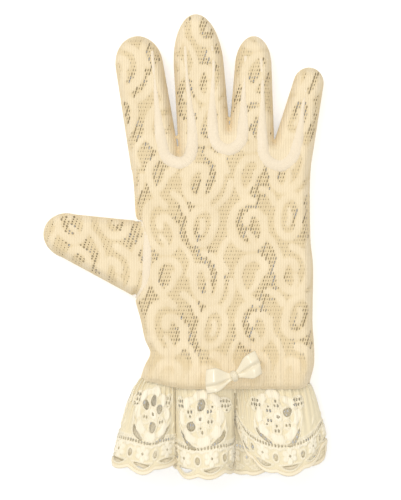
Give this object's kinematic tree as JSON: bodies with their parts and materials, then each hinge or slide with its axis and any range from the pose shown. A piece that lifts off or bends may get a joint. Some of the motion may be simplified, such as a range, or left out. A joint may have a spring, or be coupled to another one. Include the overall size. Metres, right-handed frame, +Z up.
{
  "type": "lace glove",
  "caption": "Right-hand bridal glove of stretch lace lying flat, with fourchettes between the fingers, a gathered lace cuff and a satin bow at the wrist hem.",
  "frame": {"origin": "middle of the footprint, on the surface that the palm lies on", "axes": "+X towards the little finger's side, +Y towards the fingertips, +Z up out of the back of the hand"},
  "size_m": [0.1413, 0.2327, 0.0185],
  "materials": {
    "lace": "ivory stretch lace, matte, with open holes",
    "seam": "folded ivory lace over thread, matte",
    "cuff_lace": "pale ivory flower lace, matte, with open holes",
    "satin": "ivory satin ribbon, soft sheen",
    "thread": "ivory thread"
  },
  "bodies": {
    "hand": {"hand_back": "lace", "hand_palm": "lace", "outer_side_seam": "seam", "thumb_base_seam": "seam", "web_index_middle": "lace", "web_middle_ring": "lace", "web_ring_little": "lace", "crotch_roll_index_middle": "seam", "crotch_roll_middle_ring": "seam", "crotch_roll_ring_little": "seam", "wrist_elastic": "thread", "wrist_hem": "seam", "ruffle_heading": "cuff_lace", "bow_tack_thread": "thread"},
    "index_finger": {"index_back": "lace", "index_palm": "lace", "index_fourchette": "lace", "index_roll": "seam"},
    "middle_finger": {"middle_back": "lace", "middle_palm": "lace", "middle_fourchette_index_side": "lace", "middle_fourchette_ring_side": "lace", "middle_roll_index_side": "seam", "middle_roll_ring_side": "seam"},
    "ring_finger": {"ring_back": "lace", "ring_palm": "lace", "ring_fourchette_middle_side": "lace", "ring_fourchette_little_side": "lace", "ring_roll_middle_side": "seam", "ring_roll_little_side": "seam"},
    "little_finger": {"little_back": "lace", "little_palm": "lace", "little_fourchette": "lace", "little_roll": "seam"},
    "thumb": {"thumb_back": "lace", "thumb_palm": "lace", "thumb_side_seam": "seam"},
    "cuff": {"cuff_ruffle": "cuff_lace"},
    "bow": {"bow_left_loop": "satin", "bow_right_loop": "satin", "bow_knot": "satin"}
  },
  "joints": [
    {"name": "index_fold", "type": "hinge", "parent": "hand", "child": "index_finger", "pos_m": [-0.018, 0.0595, 0.0122], "axis": [1, 0, 0], "range_deg": [0, 150]},
    {"name": "middle_fold", "type": "hinge", "parent": "hand", "child": "middle_finger", "pos_m": [0.0083, 0.075, 0.0122], "axis": [1, 0, 0], "range_deg": [0, 150]},
    {"name": "ring_fold", "type": "hinge", "parent": "hand", "child": "ring_finger", "pos_m": [0.0334, 0.075, 0.0122], "axis": [1, 0, 0], "range_deg": [0, 150]},
    {"name": "little_fold", "type": "hinge", "parent": "hand", "child": "little_finger", "pos_m": [0.0557, 0.0605, 0.0122], "axis": [1, 0, 0], "range_deg": [0, 150]},
    {"name": "thumb_fold", "type": "hinge", "parent": "hand", "child": "thumb", "pos_m": [-0.029, -0.0045, 0.0122], "axis": [0, 1, 0], "range_deg": [0, 150]},
    {"name": "cuff_fold", "type": "hinge", "parent": "hand", "child": "cuff", "pos_m": [0.019, -0.07415, 0.0105], "axis": [-1, 0, 0], "range_deg": [0, 45]},
    {"name": "bow_swivel", "type": "hinge", "parent": "hand", "child": "bow", "pos_m": [0.0249, -0.0641, 0.0123], "axis": [0, 0, 1], "range_deg": [-25, 5]}
  ]
}
